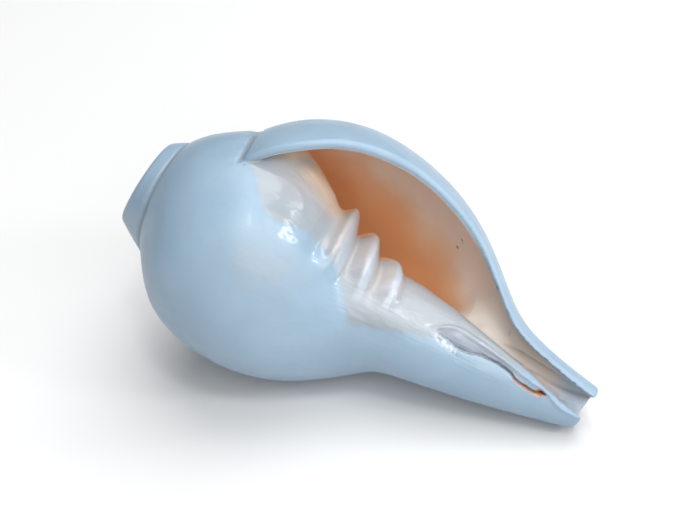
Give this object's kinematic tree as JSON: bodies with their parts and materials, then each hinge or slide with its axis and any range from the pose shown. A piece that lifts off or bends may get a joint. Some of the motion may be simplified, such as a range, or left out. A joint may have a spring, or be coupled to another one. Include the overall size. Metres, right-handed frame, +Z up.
{
  "type": "conch shell",
  "caption": "Polished spiral sea shell with a wide aperture, folded columella, open canal and an apex ground flat for blowing.",
  "frame": {"origin": "centre of the underside of the shell's box, on the surface that it lies on", "axes": "+X along the shell's length seen from above, from the ground apex to the canal tip; +Z up in the pose in which it lies still; the aperture faces -Y and up"},
  "size_m": [0.1494, 0.079, 0.0803],
  "materials": {
    "shell": "polished porcelain-like shell, white with a faint blue tint outside, peach and orange-brown inside the aperture"
  },
  "bodies": {
    "root": {"shell": "shell"}
  },
  "joints": []
}
